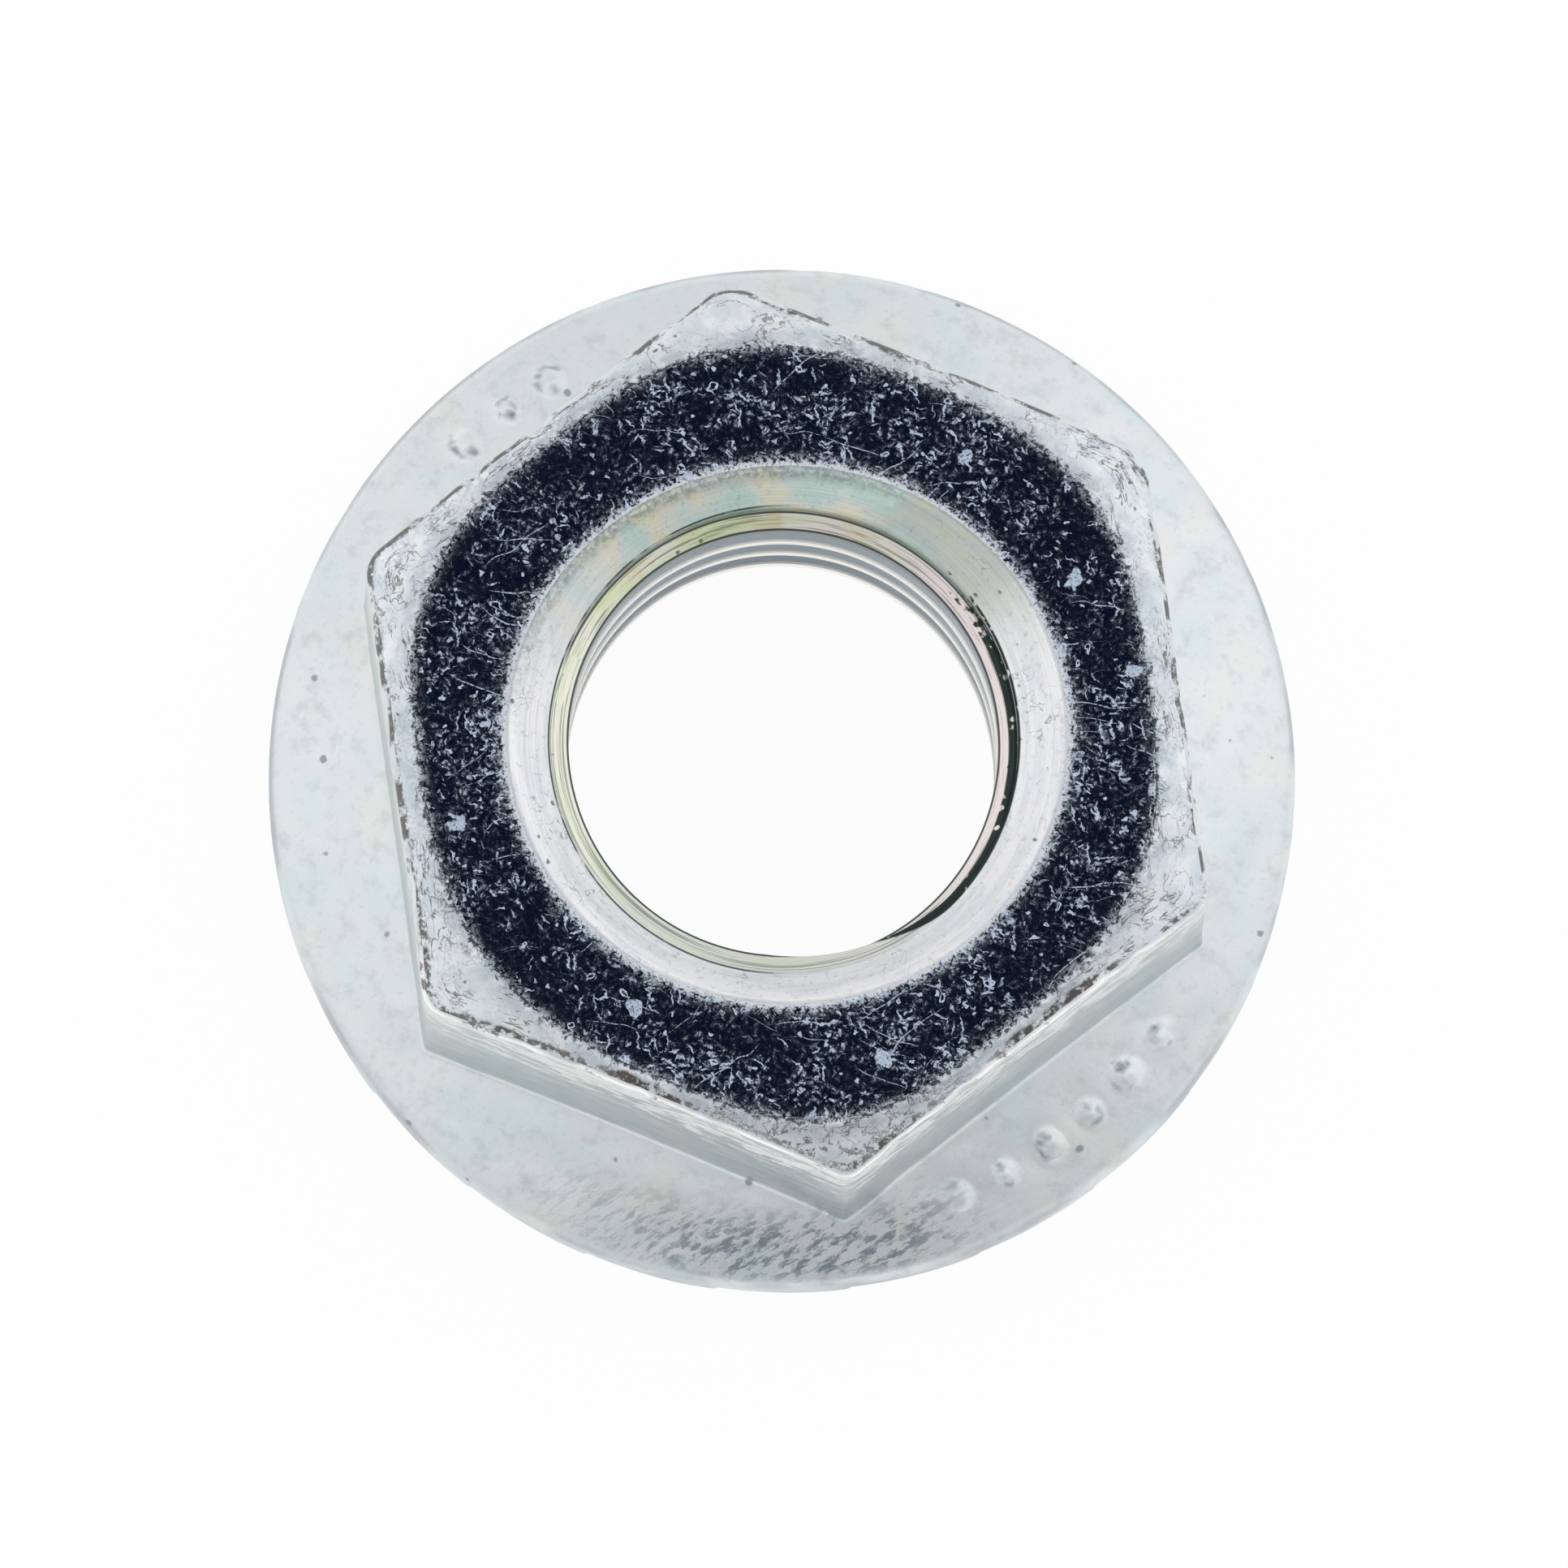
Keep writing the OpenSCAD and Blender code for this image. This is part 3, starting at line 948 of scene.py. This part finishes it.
# Camera: where the photograph was taken from, with a long lens
CAMERA_AZIMUTH = math.radians(16.44)
CAMERA_ELEVATION = math.radians(83.05)
CAMERA_ROLL = math.radians(5.73)
CAMERA_DISTANCE = 840 * MM
SENSOR_WIDTH = 36
PHOTO_SIDE_PX = 1932
PX_PER_MM = 68.04
AIM_HEIGHT = 4.0
NUT_ABOVE_CENTRE_PX = 31.7


def photo_camera():
    """Makes the camera. Returns its directions to the right, up and back."""
    back = Vector((
        math.cos(CAMERA_ELEVATION) * math.sin(CAMERA_AZIMUTH),
        -math.cos(CAMERA_ELEVATION) * math.cos(CAMERA_AZIMUTH),
        math.sin(CAMERA_ELEVATION),
    ))
    level = Vector((math.cos(CAMERA_AZIMUTH), math.sin(CAMERA_AZIMUTH), 0))
    upright = back.cross(level)
    right = level * math.cos(CAMERA_ROLL) + upright * math.sin(CAMERA_ROLL)
    up = upright * math.cos(CAMERA_ROLL) - level * math.sin(CAMERA_ROLL)
    aim = Vector((0, 0, AIM_HEIGHT * MM)) - up * (NUT_ABOVE_CENTRE_PX / PX_PER_MM * MM)
    data = bpy.data.cameras.new("photo_camera")
    data.sensor_width = SENSOR_WIDTH
    data.lens = SENSOR_WIDTH * CAMERA_DISTANCE / (PHOTO_SIDE_PX / PX_PER_MM * MM)
    data.clip_start = 0.01
    data.clip_end = 20
    camera = bpy.data.objects.new("photo_camera", data)
    turn = Matrix((right, up, back)).transposed().to_4x4()
    camera.matrix_world = Matrix.Translation(aim + back * CAMERA_DISTANCE) @ turn
    bpy.context.scene.collection.objects.link(camera)
    bpy.context.scene.camera = camera
    return right, up, back


def flat_sheet(name, corners, material):
    """One flat face of the stage."""
    mesh = bpy.data.meshes.new(name)
    mesh.from_pydata([tuple(corner) for corner in corners], [], [tuple(range(len(corners)))])
    mesh.materials.append(material)
    sheet = bpy.data.objects.new(name, mesh)
    bpy.context.scene.collection.objects.link(sheet)
    return sheet


def plain_paint(name):
    """Material with only an output, and its paint."""
    material = bpy.data.materials.new(name)
    material.use_nodes = True
    tree = material.node_tree
    tree.nodes.remove(tree.nodes["Principled BSDF"])
    return material, Paint(tree), tree.nodes["Material Output"].inputs["Surface"]


FLOOR_HALF = 0.4
FLOOR_GLOW = 0.955


def white_floor():
    """Pale floor that looks white to the camera and in the metal, with a faint shadow left on it."""
    material, paint, surface = plain_paint("floor_paint")
    rays = paint.node("ShaderNodeLightPath", {}, {})
    seen = Field(paint, rays.outputs["Is Camera Ray"])
    seen = seen.most(Field(paint, rays.outputs["Is Glossy Ray"]))
    seen = seen.most(Field(paint, rays.outputs["Is Transmission Ray"]))
    matt = paint.field("ShaderNodeBsdfDiffuse", {}, {"Color": (0.9, 0.9, 0.9, 1)})
    glow = paint.field("ShaderNodeEmission", {}, {"Color": (1, 1, 1, 1), "Strength": 1.0})
    paint.feed(surface, paint.field("ShaderNodeMixShader", {}, {0: seen * FLOOR_GLOW, 1: matt, 2: glow}))
    half = FLOOR_HALF
    flat_sheet("floor", [(-half, -half, 0), (half, -half, 0), (half, half, 0), (-half, half, 0)], material)


def soft_studio(right, up, back):
    """White room: brighter overhead and to the left and right of the camera, darker toward its foot."""
    world = bpy.data.worlds.new("soft_studio")
    world.use_nodes = True
    paint = Paint(world.node_tree)
    background = world.node_tree.nodes["Background"]
    heading = paint.field("ShaderNodeTexCoord", {}, {}, "Generated")
    overhead = Vector((-back.x, -back.y, back.z))
    side = paint.along(heading, right)
    upward = paint.along(heading, up)
    above = paint.along(heading, overhead)
    corner = paint.along(heading, right * 0.53 - up * 0.85)
    high = above.rise(0.45, 0.75)
    rising = (0.13 + 0.11 * high) * upward
    sideways = (0.08 + 0.33 * high) * (side * side - upward * upward)
    skewed = high * (0.24 * side * upward - 0.30 * corner.rise(0.30, 0.62))
    level = 0.79 + rising + sideways + skewed + 0.28 * above.rise(0.82, 0.95)
    level = level.most(0.25)
    rays = paint.node("ShaderNodeLightPath", {}, {})
    seen = Field(paint, rays.outputs["Is Camera Ray"])
    paint.feed(background.inputs["Color"], paint.blend(seen, paint.joined(level, level, level), (1, 1, 1)))
    bpy.context.scene.world = world


CARD_DISTANCE = 0.3
CARD_HALF_ANGLE = math.radians(12)
CARD_CORNERS = 40


def dark_card(back):
    """Dark card over the nut, seen only as the mirror image in polished metal."""
    material, paint, surface = plain_paint("card_paint")
    dim = {"Color": (0.002, 0.005, 0.017, 1), "Strength": 1.0}
    paint.feed(surface, paint.field("ShaderNodeEmission", {}, dim))
    mirror = Vector((-back.x, -back.y, back.z))
    across = mirror.orthogonal().normalized()
    along = mirror.cross(across)
    radius = CARD_DISTANCE * math.tan(CARD_HALF_ANGLE)
    corners = []
    for k in range(CARD_CORNERS):
        turn = 2 * math.pi * k / CARD_CORNERS
        corners.append(mirror * CARD_DISTANCE + (across * math.cos(turn) + along * math.sin(turn)) * radius)
    card = flat_sheet("dark_card", corners, material)
    card.visible_camera = False
    card.visible_diffuse = False
    card.visible_shadow = False


points, faces, zones, notes = nut_surface()
points = wear(points, faces)
finishes = {
    "top": polished_top(),
    "edge": bright_edge(),
    "chamfer": worn_chamfer_painted_shade(),
    "flat": drawn_flats(),
    "flange": satin_flange("satin_flange", 1.0),
    "seat": satin_flange("serrated_seat", 0.4),
    "bore": turned_bore(),
}
nut = nut_mesh(points, faces, zones, notes, finishes)
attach(nut, "root")
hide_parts("flange_nut")

right, up, back = photo_camera()
white_floor()
soft_studio(right, up, back)
dark_card(back)
bpy.context.scene.view_settings.view_transform = "Standard"
